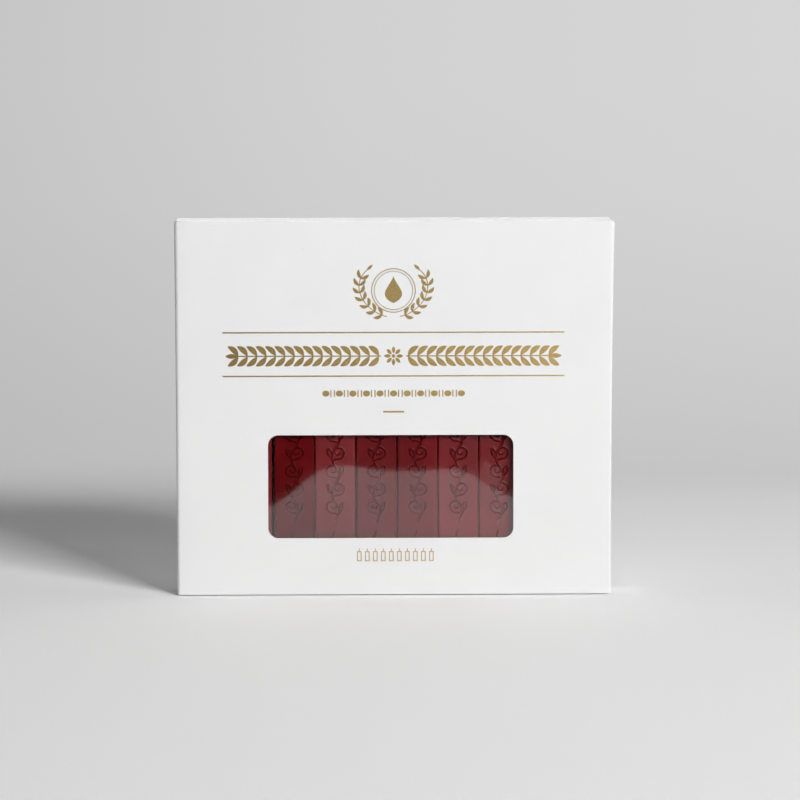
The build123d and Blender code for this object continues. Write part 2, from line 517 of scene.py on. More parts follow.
def front_rows():
    """The front panel as rings from the window's edge out to the panel's edge."""
    right, left = HALF_WIDTH - RIGHT_FRONT_RADIUS, LEFT_FRONT_RADIUS - HALF_WIDTH
    panel = [(left, FRONT_FOOT), (right, FRONT_FOOT), (right, HEIGHT), (left, HEIGHT)]
    aside, above = WINDOW_WIDTH / 2 - WINDOW_CORNER, WINDOW_HEIGHT / 2 - WINDOW_CORNER
    signs = ((-1, -1), (1, -1), (1, 1), (-1, 1))
    centres = [(WINDOW_X + sx * aside, WINDOW_Z + sz * above) for sx, sz in signs]
    sides = ((FRONT_STEPS, 270), (UPRIGHT_ROWS, 0), (FRONT_STEPS, 90), (UPRIGHT_ROWS, 180))
    spokes = []
    for i, (count, angle) in enumerate(sides):
        j = (i + 1) % len(sides)
        for share in steps(0, 1, count)[:-1]:
            near = window_edge(share, angle, centres[i], centres[j])
            spokes.append((near, between(panel[i], panel[j], share)))
    rows = []
    for share in steps(0, 1, FRONT_RINGS):
        ring = [between(near, far, share**FRONT_SPREAD) for near, far in spokes]
        rows.append([(front_point(*place), front_point(*place, -BOARD)) for place in ring + ring[:1]])
    return rows


def build_sleeve():
    back = HALF_WIDTH - FOLD_RADIUS
    around = fold_columns(1, -1, RIGHT_FRONT_RADIUS, -90)
    around += side_columns(1, RIGHT_FRONT_RADIUS)
    around += fold_columns(1, 1, FOLD_RADIUS, 0)
    around += [(x, HALF_DEPTH, (0.0, 1.0), CLOSURE_SEAT) for x in steps(back, -back, 40)]
    around += fold_columns(-1, 1, FOLD_RADIUS, 90)
    around += reversed(side_columns(-1, LEFT_FRONT_RADIUS))
    around += fold_columns(-1, -1, LEFT_FRONT_RADIUS, 180)
    grids = [[column(*where) for where in around]]
    for side in (1, -1):
        for end in (1, -1):
            rows = [lip_row(side, end, y) for y in steps(DUST_LOW.y, DUST_HIGH.y, 12)]
            grids.append(rows if side == end else rows[::-1])
    add_sheet("carton_shell", [*grids, front_rows()], BOARD_FACES, "carton", ["carton_sleeve"])


TAB_WIDTH, TAB_TAPER, TAB_GAP = 11.0, 3.0, 0.3  # the gap is to the side panel's inner face


def build_glue_tab():
    """The seam tab inside the back panel, part of the same sheet as the sleeve."""
    front, rear = HALF_DEPTH - 2 * BOARD, HALF_DEPTH - BOARD
    rows = []
    for away in steps(0, TAB_WIDTH, 12):
        x = HALF_WIDTH - BOARD - TAB_GAP - away
        cut = DUST_SEAT + TAB_TAPER * away / TAB_WIDTH
        row = []
        for z in steps(cut, HEIGHT - cut, 30):
            bow = back_bow(x, z)
            row.append(((x, front + bow, z), (x, rear + bow, z)))
        rows.append(row)
    add_sheet("glue_tab", [rows], BOARD_FACES, "carton")


# --- Closures: closure panel and tuck flap in one bent sheet, and the dust flaps
CLOSURE_WIDER = 0.5  # a closure panel stands out by this much at each side
NARROWING = 0.9  # and narrows over this much behind its front fold
REAR_ROUND = 0.4
TUCK_CORNER = 4.0
CLOSURE_COLUMNS = 40
DUST_REAR_TAPER, DUST_FRONT_TAPER, DUST_CORNER = 4.2, 1.0, 1.5


def closure_path():
    """Outer face of the top closure from its crease to the tuck flap's end: (y, z, normal, half width)."""
    wide, flat, tuck = CLOSURE_HIGH.x + CLOSURE_WIDER, CLOSURE_HIGH.x, TUCK_HIGH.x
    rear = (HALF_DEPTH - REAR_ROUND, HEIGHT - REAR_ROUND)
    path = [(*polar(rear, REAR_ROUND, angle), unit(angle), wide) for angle in steps(0, 90, 5)]
    fold = (TUCK_LOW.y + TUCK_FOLD_RADIUS, HEIGHT - TUCK_FOLD_RADIUS)
    for y in steps(HALF_DEPTH - 1, fold[0] + NARROWING, 8) + [fold[0] + NARROWING / 2, fold[0]]:
        path.append((y, HEIGHT, (0, 1), flat + (wide - flat) * ease((y - fold[0]) / NARROWING)))
    for angle in steps(90, 180, 8)[1:]:
        half = flat + (tuck - flat) * ease((angle - 90) / 90)
        path.append((*polar(fold, TUCK_FOLD_RADIUS, angle), unit(angle), half))
    for z in steps(fold[1], TUCK_LOW.z + TUCK_CORNER, 5)[1:]:
        path.append((TUCK_LOW.y, z, (-1, 0), tuck))
    for angle in steps(0, 90, 8)[1:]:
        aside, down = unit(angle)
        z = TUCK_LOW.z + TUCK_CORNER * (1 - down)
        path.append((TUCK_LOW.y, z, (-1, 0), tuck - TUCK_CORNER * (1 - aside)))
    return path


def build_closure(end):
    """The closure at "top" or "bottom"; the bottom one is the top one's mirror image."""
    rows = []
    for y, z, normal, half in closure_path():
        inner_y, inner_z = y - normal[0] * BOARD, z - normal[1] * BOARD
        if normal[0] > 0:  # the rounded rear end keeps its inner face level
            inner_y, inner_z = y, HEIGHT - BOARD
        if end == "bottom":
            z, inner_z = HEIGHT - z, HEIGHT - inner_z
        xs = [share * half for share in steps(-1, 1, CLOSURE_COLUMNS)]
        rows.append([((x, y, z), (x, inner_y, inner_z)) for x in xs])
    grid = rows if end == "top" else rows[::-1]
    faces = [CLOSURE_OUTSIDE, *BOARD_FACES[1:]]
    replaced = [f"{end}_closure_panel", f"{end}_tuck_flap"]
    add_sheet(f"{end}_closure", [grid], faces, f"{end}_closure", replaced)


def build_dust_flap(end, side):
    """A dust flap; side is left or right. It fills its CAD node's box and tapers away from its crease."""
    node = f"{end}_dust_flap_{side}"
    low, high = node_box(node)
    sign = 1 if side == "right" else -1
    length = high.x - low.x
    outer_z, inner_z = (high.z, low.z) if end == "top" else (low.z, high.z)
    rows = []
    for away in steps(0, length, 24):
        front = low.y + DUST_FRONT_TAPER * away / length
        rear = high.y - DUST_REAR_TAPER * away / length
        into_corner = DUST_CORNER - (length - away)
        if into_corner > 0:
            pull = DUST_CORNER - math.sqrt(max(DUST_CORNER**2 - into_corner**2, 0))
            front += pull
            rear -= pull
        x = sign * (HALF_WIDTH - away)
        rows.append([((x, y, outer_z), (x, y, inner_z)) for y in steps(front, rear, 8)])
    grid = rows[::-1] if (sign > 0) == (end == "top") else rows
    add_sheet(f"{end}_dust_{side}", [grid], BOARD_FACES, f"{end}_dust_{side}", [node])


# --- Window film
# Up to this height, across the pane, the film mirrors the bright floor; it is drawn back towards both ends
BRIGHT_EDGE = [
    (-40.0, 23.6), (-34.0, 24.0), (-28.4, 27.2), (-22.0, 33.1), (-17.5, 35.2), (-13.0, 35.7), (-8.5, 35.0),
    (-2.0, 33.9), (5.0, 33.9), (12.0, 34.4), (17.4, 34.5), (20.5, 33.4), (24.0, 30.9), (28.0, 28.4),
    (32.0, 26.6), (38.0, 25.5),
]
EDGE_ROUND = 2.4  # the bright edge is evened out over this much to each side
SHEET_AHEAD = 285.0  # from the film forward to the end of the bright floor sheet
CAMERA_AHEAD = 1347.5  # from the film to the camera
TILT_IN = 5.0  # below the bright edge the film tilts to its mirror slope over this height
HALF_BAND = 6.0  # near the right end the film half mirrors the floor for this much above the bright edge
HALF_BAND_START, HALF_BAND_END = 22.9, 31.3
HALF_BAND_IN, HALF_BAND_OUT = 1.0, 2.6  # it sets in and ends over these widths
TURN_AWAY, DARK_SLOPE = 0.0014, -0.002  # above that it turns by this slope a millimetre, up to the dark slope
FREE_LOW, FREE_HIGH = WINDOW_Z - 14.2, WINDOW_Z + 14.6  # the film bends between these heights
GLUED_TOP, GLUED_SIDE = 4.5, 4.0  # it lies on the board again over these widths


def bright_edge(x):
    for (x0, z0), (x1, z1) in zip(BRIGHT_EDGE, BRIGHT_EDGE[1:]):
        if x <= x1:
            return z0 + (z1 - z0) * (x - x0) / (x1 - x0)
    return BRIGHT_EDGE[-1][1]


def smooth_edge(x):
    """The bright edge with its corners rounded off."""
    offsets = steps(-EDGE_ROUND, EDGE_ROUND, 8)
    return sum(bright_edge(x + offset) for offset in offsets) / len(offsets)


def level_slope(z):
    """Slope of the film at height z for which its mirror image of the floor ends there."""
    return (math.atan(z / SHEET_AHEAD) - math.atan((CAMERA_AT[2] - z) / CAMERA_AHEAD)) / 2


def film_slope(x, z):
    edge = smooth_edge(x)
    if z < edge:
        return level_slope(edge) * ease((z - edge + TILT_IN) / TILT_IN)
    band = ease((x - HALF_BAND_START) / HALF_BAND_IN) * ease((HALF_BAND_END - x) / HALF_BAND_OUT)
    top = edge + HALF_BAND * band
    if z < top:
        return level_slope(z)
    drawn = level_slope(top)
    return min(drawn + TURN_AWAY * (z - top), max(drawn, DARK_SLOPE))


def film_depths(x, zs):
    """How far the film lies behind its flat place at each height of one column, summed up from its slope."""
    depths = [0.0]
    for low, high in zip(zs, zs[1:]):
        middle = (low + high) / 2
        drop = film_slope(x, middle) * (high - low) if FREE_LOW < middle < FREE_HIGH else 0.0
        depths.append(depths[-1] - drop)
    return depths


def build_film():
    """The pane: flat where it is glued to the board, drawn back a little towards the ends of the window."""
    xs = steps(FILM_LOW.x, FILM_HIGH.x, 120)
    zs = steps(FILM_LOW.z, FILM_HIGH.z, 90)
    columns = [film_depths(x, zs) for x in xs]
    rows = []
    for z, depths in zip(zs, zip(*columns)):
        row = []
        for x, depth in zip(xs, depths):
            glued = ease((FILM_HIGH.z - z) / GLUED_TOP)
            glued *= ease((x - FILM_LOW.x) / GLUED_SIDE) * ease((FILM_HIGH.x - x) / GLUED_SIDE)
            bow = front_bow(x, z)
            back = (depth + bow - front_bow(x, zs[0])) * glued - bow
            row.append(((x, FILM_LOW.y + back, z), (x, FILM_HIGH.y + back, z)))
        rows.append(row)
    add_sheet("film_pane", [rows], [FILM] * 3, "carton", ["window_film"])


# --- Foil ornaments on the front panel
FOIL_PROUD, FOIL_DEPTH = 0.02, 0.03
LEAF_BLUNT, LEAF_LEAST = 0.04, 0.03  # the share of its outline that each tip lacks, and its least width
RULE_HALF, RULE_WIDTH, RULES_Z = 46.3, 0.38, (71.7, 59.85)
DASH_HALF, DASH_WIDTH, DASH_Z = 2.85, 0.5, 50.1
BAND_HALF, BAND_Z = 45.5, 65.3
BEADS_HALF, BEADS_Z = 20.2, 55.1
TALLY_X, TALLY_Z = 0.4, 10.9
EMBLEM_Z = 83.1


class Foil:
    """Flat foil shapes on the front panel, gathered into one piece."""

    def __init__(self):
        self.vertices = []
        self.faces = []

    def strip(self, left, right):
        """A ribbon between two rows of (x, z) points; closed all round."""
        base, count = len(self.vertices), len(left)
        back = 2 * count
        for proud in (FOIL_PROUD, FOIL_PROUD - FOIL_DEPTH):
            self.vertices += [front_point(x, z, proud) for x, z in left + right]

        def face(*corners):
            self.faces.append(tuple(base + corner for corner in corners))

        for a in range(count - 1):
            b, c, d = a + 1, count + a + 1, count + a
            face(a, b, c, d)
            face(back + d, back + c, back + b, back + a)
            face(b, a, back + a, back + b)
            face(d, c, back + c, back + d)
        for a, b in ((0, count), (2 * count - 1, count - 1)):
            face(a, b, back + b, back + a)

    def line(self, points, width):
        """A stroke of even width along points; width may be a function of the share along it."""
        left, right = [], []
        last = len(points) - 1
        for i, place in enumerate(points):
            behind, ahead = points[max(i - 1, 0)], points[min(i + 1, last)]
            half = (width(i / last) if callable(width) else width) / 2
            left.append(beside(place, behind, ahead, half))
            right.append(beside(place, behind, ahead, -half))
        self.strip(left, right)

    def bar(self, x0, x1, z, width):
        """A level stroke, in pieces short enough to follow the bowed panel."""
        count = max(1, round(abs(x1 - x0) / 2))
        self.line([(x, z) for x in steps(x0, x1, count)], width)

    def leaf(self, x, z, angle, length, width, bend=0.0):
        """A pointed leaf from its root, turned by angle in degrees; bend is a share of its length."""
        cos, sin = unit(angle)
        spine = []
        for share in steps(0, 1, 12):
            along, aside = share * length, bend * length * math.sin(math.pi * share)
            spine.append((x + along * cos - aside * sin, z + along * sin + aside * cos))

        def wide(share):
            inward = math.pi * (share * (1 - 2 * LEAF_BLUNT) + LEAF_BLUNT)
            return width * math.sin(inward) ** 0.9 + LEAF_LEAST

        self.line(spine, wide)

    def disc(self, x, z, radius, tall=1.0):
        """A filled round or oval spot; tall is its height to its width."""
        round_half = [unit(angle) for angle in steps(0, 180, 12)[1:-1]]
        upper = [(x + radius * cos, z + tall * radius * sin) for cos, sin in round_half]
        lower = [(x + radius * cos, z - tall * radius * sin) for cos, sin in round_half]
        self.strip(upper, lower)

    def ring(self, centre, radius, width):
        self.line([polar(centre, radius, angle) for angle in steps(0, 360, 64)], width)

    def piece(self, name):
        add_piece(name, self.vertices, self.faces, [FOIL], "carton")


def build_rules():
    foil = Foil()
    for z in RULES_Z:
        foil.bar(-RULE_HALF, RULE_HALF, z, RULE_WIDTH)
    foil.bar(-DASH_HALF, DASH_HALF, DASH_Z, DASH_WIDTH)
    foil.piece("foil_rules")


def build_garland():
    """A laurel garland between the rules: two runs of leaves that set off from a rosette in the middle."""
    foil = Foil()
    stem_start, stem_end, stem_width = 3.4, BAND_HALF - 1.5, 0.34
    first_pair, last_pair, pairs = 4.0, BAND_HALF - 3.4, 16
    leaf_root, leaf_turn, leaf_size, leaf_bend = 0.15, 42, (3.7, 1.5), 0.1
    tip_start, tip_size = BAND_HALF - 3.3, (3.3, 1.3)
    petal_root, petal_size, heart = 0.75, (1.8, 0.95), 0.5
    for side in (-1, 1):
        forward = 0 if side > 0 else 180
        foil.bar(side * stem_start, side * stem_end, BAND_Z, stem_width)
        for away in steps(first_pair, last_pair, pairs - 1):
            for up in (-1, 1):
                turn = forward + side * up * leaf_turn
                foil.leaf(side * away, BAND_Z + leaf_root * up, turn, *leaf_size, leaf_bend * side * up)
        foil.leaf(side * tip_start, BAND_Z, forward, *tip_size)
    for angle in range(0, 360, 45):
        foil.leaf(*polar((0, BAND_Z), petal_root, angle), angle, *petal_size)
    foil.disc(0, BAND_Z, heart)
    foil.piece("foil_garland")


def build_beads():
    """A bead-and-reel row under the lower rule."""
    foil = Foil()
    beads, bead_radius, bead_tall = 11, 1.0, 0.82
    reel_aside, reel_half, reel_width = 0.13, 0.95, 0.32
    pitch = 2 * BEADS_HALF / beads
    for i in range(beads):
        x = -BEADS_HALF + pitch * (i + 0.5)
        foil.disc(x, BEADS_Z, bead_radius, bead_tall)
        if i < beads - 1:
            for aside in (-reel_aside, reel_aside):
                reel = x + pitch * (0.5 + aside)
                foil.line([(reel, BEADS_Z - reel_half), (reel, BEADS_Z + reel_half)], reel_width)
    foil.piece("foil_beads")


def build_tally():
    """Ten little sticks with wicks in a row under the window, one for each stick in the carton."""
    foil = Foil()
    pitch, half, width = 2.18, 0.62, 0.27
    low, high = TALLY_Z - 1.7, TALLY_Z + 1.05
    wick, wick_width = 0.75, 0.24
    for i in range(len(STICKS)):
        x = TALLY_X + (i - (len(STICKS) - 1) / 2) * pitch
        for side in (-1, 1):
            upright = x + side * (half - width / 2)
            foil.line([(upright, low), (upright, high)], width)
        for z in (low + width / 2, high - width / 2):
            foil.line([(x - half + width, z), (x + half - width, z)], width)
        foil.line([(x, high), (x, high + wick)], wick_width)
    foil.piece("foil_tally")


def build_emblem():
    """A drop in a double ring between two sprigs."""
    foil = Foil()
    for radius, width in ((5.9, 0.26), (5.2, 0.2)):
        foil.ring((0, EMBLEM_Z), radius, width)
    drop_top, drop_height, drop_width = 3.9, 7.3, 4.6
    drop = [(0, EMBLEM_Z + drop_top - drop_height * share) for share in steps(0, 1, 30)]
    foil.line(drop, lambda share: drop_width * math.sin(math.pi * share**1.7) ** 0.8 + 0.06)
    stem_start, stem_sweep, stem_width = -76, 122, 0.26
    stem_aside, stem_above, opening, lengthening = 7.4, 7.3, 2.9, 0.4
    leaf_turn, leaf_size, leaf_bend, tip_size = 40, (2.4, 0.95), 0.12, (2.1, 0.8)
    for side in (-1, 1):
        stem = []
        for share in steps(0, 1, 24):
            cos, sin = unit(stem_start + stem_sweep * share)
            x = side * (stem_aside + opening * share) * cos
            stem.append((x, EMBLEM_Z + (stem_above + lengthening * share) * sin))
        foil.line(stem, stem_width)
        headings = [math.degrees(math.atan2(b[1] - a[1], b[0] - a[0])) for a, b in zip(stem, stem[1:])]
        for i in range(2, 23, 3):
            for way in (-1, 1):
                foil.leaf(*stem[i], headings[i] + way * leaf_turn, *leaf_size, leaf_bend * way)
        foil.leaf(*stem[-1], headings[-1], *tip_size)
    foil.piece("foil_emblem")


# --- Wax sticks
GROOVE_HALF = 0.24  # half width of the scroll's groove
GROOVE_DEPTH = 0.5
RIM_OUT, RIM_RISE = 0.52, 0.08  # the rim that stands up beside the groove
FACE_EDGE = 0.42  # rounding of a stick's long edges
STICK_SHRINK = 0.05  # wax shrinks a little in its mould
LOOSE_STICKS, LOOSE_NUDGE = 2, -0.03  # at the left end; they stand a little apart from the rest
FRONT_SETTLE, BACK_SETTLE, SETTLE_SPREAD = 0.08, 0.58, 0.03  # how far back a stick stands from its CAD place
STICK_TURN = 0.35  # degrees, at most
UNEVEN = 0.035  # how far a stick's sides wave
END_ROUND, END_DRAWN = 0.3, 0.22  # the ends are drawn in over this height by this much
END_RINGS = ((0.82, 0.1), (0.55, 0.28), (0.3, 0.5), (0.15, 0.75))  # share of the way out, and dip there
ROUND_BELOW = 0.4  # rings at a smaller share than this are round

STICK_HALF = (STICK_HIGH.x - STICK_LOW.x) / 2 - STICK_SHRINK
FACE_HALF = STICK_HALF - FACE_EDGE
FACE_ROWS = [STICK_LOW.z, STICK_LOW.z + END_ROUND]
FACE_ROWS += steps(STICK_LOW.z + 1.5, STICK_HIGH.z - 1.5, 56)
FACE_ROWS += [STICK_HIGH.z - END_ROUND, STICK_HIGH.z]
FACE_COLUMNS = 6
TOUCH = 0.001  # nearer than this, a point of the face is on its edge

VINE_LENGTH = 28.8
VINE_FOOT = 1.6  # the scroll keeps this far from the stick's foot
VINE_SPANS = ((0.0, 16.6), (20.1, 48.9), (53.0, 81.8))  # heights of the vines; the foot cuts the lowest short
VINE_MARGIN = 0.8
VINE_WAVE, VINE_SWING = 9.8, 1.05
FIRST_BEND = 0.16  # in waves
CURL_ASIDE, CURL_ABOVE, CURL_RADIUS, CURL_EYE = 0.75, 2.35, 1.62, 0.3
CURL_START, CURL_TURN, CURL_DIP = -20, 425, 0.1  # degrees, degrees and millimetres
LEAF_FOOT, LEAF_LENGTH, LEAF_OUT, LEAF_BEND = 0.9, 2.5, 2.1, 0.42

SCROLL_STEP = 0.05
FINE_CELL, COARSE_CELL = 0.09, 0.5  # room for a point of the face near the scroll and away from it
GROOVE_OFFSETS = (0.0, 0.1, 0.2, 0.27, 0.4, 0.55)  # lines of points beside the scroll's centre line
OFFSET_SLACK = 0.03  # such a point may be this much nearer to the scroll than its own offset
EDGE_KEEP = 0.15  # room at the face's edge
PLAIN_MARGIN, PLAIN_CLEAR = 0.9, 0.8  # the coarse points keep this far from the edge and the scroll


def from_end(z):
    """How far a height is from the nearer end of the sticks."""
    return min(z - STICK_LOW.z, STICK_HIGH.z - z)


def curl_line(root, side):
    """A curl that leaves the stem at its root and winds inward."""
    centre = (-side * CURL_ASIDE, root[1] + CURL_ABOVE)
    curl = []
    for share in steps(0, 1, 60):
        radius = CURL_RADIUS * (1 - share) ** 0.8 + CURL_EYE
        curl.append(polar(centre, radius, -90 - side * (CURL_START + CURL_TURN * share)))
    x, z = between(root, curl[0], 0.5)
    return [root, (x, z - CURL_DIP), *curl]


def leaf_line(foot, side, bend):
    """One edge of a leaf, which stands out by bend; its other edge has the opposite bend."""
    tip = (side * LEAF_OUT, foot[1] + LEAF_LENGTH)
    line = []
    for share in steps(0, 1, 20):
        x, z = between(foot, tip, share)
        swell = bend * math.sin(math.pi * share)
        line.append((x + side * swell, z - swell))
    return line


def scroll_lines(bottom, top):
    """Centre lines of a vine between two heights: a waving stem with a curl and a leaf in each bend."""

    def stem(z):
        return VINE_SWING * math.sin(2 * math.pi * (z - bottom) / VINE_WAVE), z

    lines = [[stem(z) for z in steps(bottom, top, 120)]]
    z, side = bottom + VINE_WAVE * FIRST_BEND, 1
    while z + LEAF_FOOT + LEAF_LENGTH < top:
        lines.append(curl_line(stem(z), side))
        lines += [leaf_line(stem(z + LEAF_FOOT), side, bend) for bend in (LEAF_BEND, -LEAF_BEND)]
        z += VINE_WAVE / 2
        side = -side
    return lines


def even_line(line, step):
    """The same line with its points an even step apart."""
    points, carry = [line[0]], 0.0
    for (x0, z0), (x1, z1) in zip(line, line[1:]):
        length = math.hypot(x1 - x0, z1 - z0)
        at = step - carry
        while at <= length:
            points.append((x0 + (x1 - x0) * at / length, z0 + (z1 - z0) * at / length))
            at += step
        carry = length - (at - step)
    return points


class FacePlan:
    """A stick's front face, triangulated, with the scroll cut in; every stick comes from one mould."""

    def __init__(self):
        self.scroll = []
        for start, end in VINE_SPANS:
            start = max(start, STICK_LOW.z + VINE_FOOT)
            for line in scroll_lines(end - VINE_LENGTH, end):
                line = even_line(line, SCROLL_STEP)
                within = [p for p in line if start <= p[1] <= end and abs(p[0]) < FACE_HALF - VINE_MARGIN]
                self.scroll.append(within)
        places = [place for line in self.scroll for place in line]
        self.tree = KDTree(len(places))
        for i, (x, z) in enumerate(places):
            self.tree.insert((x, z, 0), i)
        self.tree.balance()

        border = [(x, FACE_ROWS[0]) for x in steps(-FACE_HALF, FACE_HALF, FACE_COLUMNS)]
        border += [(FACE_HALF, z) for z in FACE_ROWS[1:-1]]
        border += [(x, FACE_ROWS[-1]) for x in steps(FACE_HALF, -FACE_HALF, FACE_COLUMNS)]
        border += [(-FACE_HALF, z) for z in FACE_ROWS[-2:0:-1]]
        edges = [(i, (i + 1) % len(border)) for i in range(len(border))]
        flat = [Vector(p) for p in border + self.inner_points()]
        vertices, _, faces, *_ = delaunay_2d_cdt(flat, edges, [], 1, 1e-5)
        self.points = [tuple(v) for v in vertices]
        self.faces = [tuple(f) for f in faces]
        self.depths = [self.depth(x, z) for x, z in self.points]
        self.seams = {}  # (row, side) of points that it shares with the stick's right (1) or left (-1) side
        for i, (x, z) in enumerate(self.points):
            if FACE_HALF - abs(x) < TOUCH:
                row = min(range(len(FACE_ROWS)), key=lambda row: abs(FACE_ROWS[row] - z))
                self.seams[i] = (row, 1 if x > 0 else -1)

    def inner_points(self):
        """Points along the scroll and over the rest of the face, none of them crowded."""
        points, taken = [], set()
        for x, z, cell in self.offered_points():
            key = (round(x / cell), round(z / cell))
            if min(FACE_HALF - abs(x), from_end(z)) > EDGE_KEEP and key not in taken:
                taken.add(key)
                points.append((x, z))
        return points

    def offered_points(self):
        for offset in GROOVE_OFFSETS:
            for line in self.scroll:
                for behind, place, ahead in zip(line[::5], line[2::5], line[4::5]):
                    for side in (1, -1) if offset else (1,):
                        x, z = beside(place, behind, ahead, side * offset)
                        if self.near(x, z) > offset - OFFSET_SLACK:
                            yield x, z, FINE_CELL
        for z in steps(STICK_LOW.z + PLAIN_MARGIN, STICK_HIGH.z - PLAIN_MARGIN, 88):
            for x in steps(PLAIN_MARGIN - FACE_HALF, FACE_HALF - PLAIN_MARGIN, 8):
                if self.near(x, z) > PLAIN_CLEAR:
                    yield x, z, COARSE_CELL

    def near(self, x, z):
        """How far a place is from the scroll."""
        return self.tree.find((x, z, 0))[2]

    def depth(self, x, z):
        """How deep the face is cut at a place; less than nothing on the rim."""
        away = self.near(x, z)
        if away < GROOVE_HALF:
            return GROOVE_DEPTH * (1 - (away / GROOVE_HALF) ** 2) ** 0.75 - RIM_RISE * away / GROOVE_HALF
        return -RIM_RISE * (1 - ease((away - GROOVE_HALF) / (RIM_OUT - GROOVE_HALF)))


def standing(node, number):
    """Where a stick or its wick stands: back on the rear panel, and the last one on the seam tab."""
    low, high = node_box(node)
    settle = BACK_SETTLE + SETTLE_SPREAD * math.sin(number * 2.1)
    if number == len(STICKS):
        settle = FRONT_SETTLE
    return (low.x + high.x) / 2, (low.y + high.y) / 2 + settle


def stick_section():
    """(x, y, *normal) round a stick's sides and back, from its right front corner to its left one."""
    centres = [(sx * FACE_HALF, sy * FACE_HALF) for sx, sy in ((1, -1), (1, 1), (-1, 1), (-1, -1))]
    section = []
    for k, centre in enumerate(centres):
        section += [(*centre, *unit(angle)) for angle in steps(90 * k - 90, 90 * k, 4)]
        if k < 3:
            shares = steps(0, 1, 6)[1:-1]
            section += [(*between(centre, centres[k + 1], share), *unit(90 * k)) for share in shares]
    return section


def close_end(vertices, faces, outline, centre, way):
    """Closes a stick's end with rings that dip towards the wick; way is 1 at the foot and -1 at the top."""
    edge = [vertices[i] for i in outline]
    for share, dip in END_RINGS:
        ring = list(range(len(vertices), len(vertices) + len(edge)))
        for x, y, z in edge:
            dx, dy = x - centre[0], y - centre[1]
            grow = share * STICK_HALF / math.hypot(dx, dy) if share < ROUND_BELOW else share
            vertices.append((centre[0] + dx * grow, centre[1] + dy * grow, z + way * dip))
        for quad in zip(outline, outline[1:] + outline[:1], ring[1:] + ring[:1], ring):
            faces.append(quad[::-way])
        outline = ring
    faces.append(tuple(outline[::-way]))


def build_stick(node, number, plan):
    """A cast stick: softly rounded, its faces a little uneven, its ends drawn down round the wick."""
    middle = standing(node, number)
    nudge = LOOSE_NUDGE if number <= LOOSE_STICKS else 0.0
    turn_cos, turn_sin = unit(STICK_TURN * math.sin(number * 1.3 + 0.4))

    def place(x, y, z):
        """From the mould's place to the stick's own, a hair out of line as each one is."""
        bumpy = UNEVEN * math.sin(z * 0.17 + number * 1.7) * math.sin(x * 0.45 + number)
        y += bumpy if y < 0 else -bumpy
        return middle[0] + nudge + x * turn_cos - y * turn_sin, middle[1] + x * turn_sin + y * turn_cos, z

    section = stick_section()
    count, last = len(section), len(FACE_ROWS) - 1
    vertices = []
    for z in FACE_ROWS:
        reach = FACE_EDGE - END_DRAWN * max(1 - from_end(z) / END_ROUND, 0.0)
        vertices += [place(x + nx * reach, y + ny * reach, z) for x, y, nx, ny in section]
    faces = join_rows(0, len(FACE_ROWS), count, False)

    index = []  # of each point of the front face, whose sides are the section's first and last points
    end_points = {0: [], last: []}
    for i, (x, z) in enumerate(plan.points):
        if i in plan.seams:
            row, side = plan.seams[i]
            index.append(row * count + (0 if side > 0 else count - 1))
            continue
        index.append(len(vertices))
        at_end = from_end(z) < TOUCH
        if at_end:
            end_points[0 if z < HEIGHT / 2 else last].append(index[i])
        vertices.append(place(x, (END_DRAWN if at_end else 0.0) - STICK_HALF + plan.depths[i], z))
    faces += [tuple(index[i] for i in face) for face in plan.faces]

    for row, way in ((0, 1), (last, -1)):
        outline = list(range(row * count, row * count + count))
        outline += sorted(end_points[row], key=lambda i: vertices[i][0])
        close_end(vertices, faces, outline, place(0, 0, FACE_ROWS[row]), way)
    add_piece(f"stick_{number:02d}", vertices, faces, [STICK_WAX[number - 1]], "carton", [node])


# --- Wicks
PLY_SHARE = 0.54  # a ply's radius as a share of the wick's
PLY_TWIST, PLY_SIDES = 3.4, 8  # height of one turn; sides of a ply
WICK_LEAN = (0.9, 0.35)  # sideways and back, at most
WICK_POINT = 0.25  # the wick's end is thinner by this share


def build_wick(node, number):
    """A cotton wick of three plies twisted together; above the stick it leans a little."""
    low, high = node_box(node)
    radius = (high.x - low.x) / 2
    ply = radius * PLY_SHARE
    middle = standing(node, number)
    lean = (WICK_LEAN[0] * math.sin(number * 2.3), WICK_LEAN[1] * math.cos(number * 1.9))
    free = STICK_HIGH.z
    heights = steps(low.z, free - 2, 20) + steps(free - 2, high.z, 44)[1:]
    vertices, faces = [], []
    for strand in range(3):
        base = len(vertices)
        for z in heights:
            share = max(0.0, (z - free) / (high.z - free))
            axis = (middle[0] + lean[0] * share**2, middle[1] + lean[1] * share**2)
            centre = polar(axis, radius - ply, 360 * (z / PLY_TWIST + strand / 3))
            thick = ply * (1 - WICK_POINT * share**6)
            for angle in steps(0, 360, PLY_SIDES)[:-1]:
                vertices.append((*polar(centre, thick, angle), z))
        faces += join_rows(base, len(heights), PLY_SIDES, True)
        faces.append(tuple(reversed(range(base, base + PLY_SIDES))))
        faces.append(tuple(range(len(vertices) - PLY_SIDES, len(vertices))))
    add_piece(f"cotton_wick_{number:02d}", vertices, faces, [COTTON], "carton", [node])


# --- Stage: floor that sweeps up into a backdrop
SHEET_FRONT = -0.291  # the bright sheet ends here for reflections
FLOOR_FRONT = -3.0
STAGE_HALF = 2.2
COVE_START, COVE_RADIUS, WALL_TOP = 0.20, 0.55, 2.4
FLOOR_DROP = 0.00015  # a carton's foot never lies quite flat


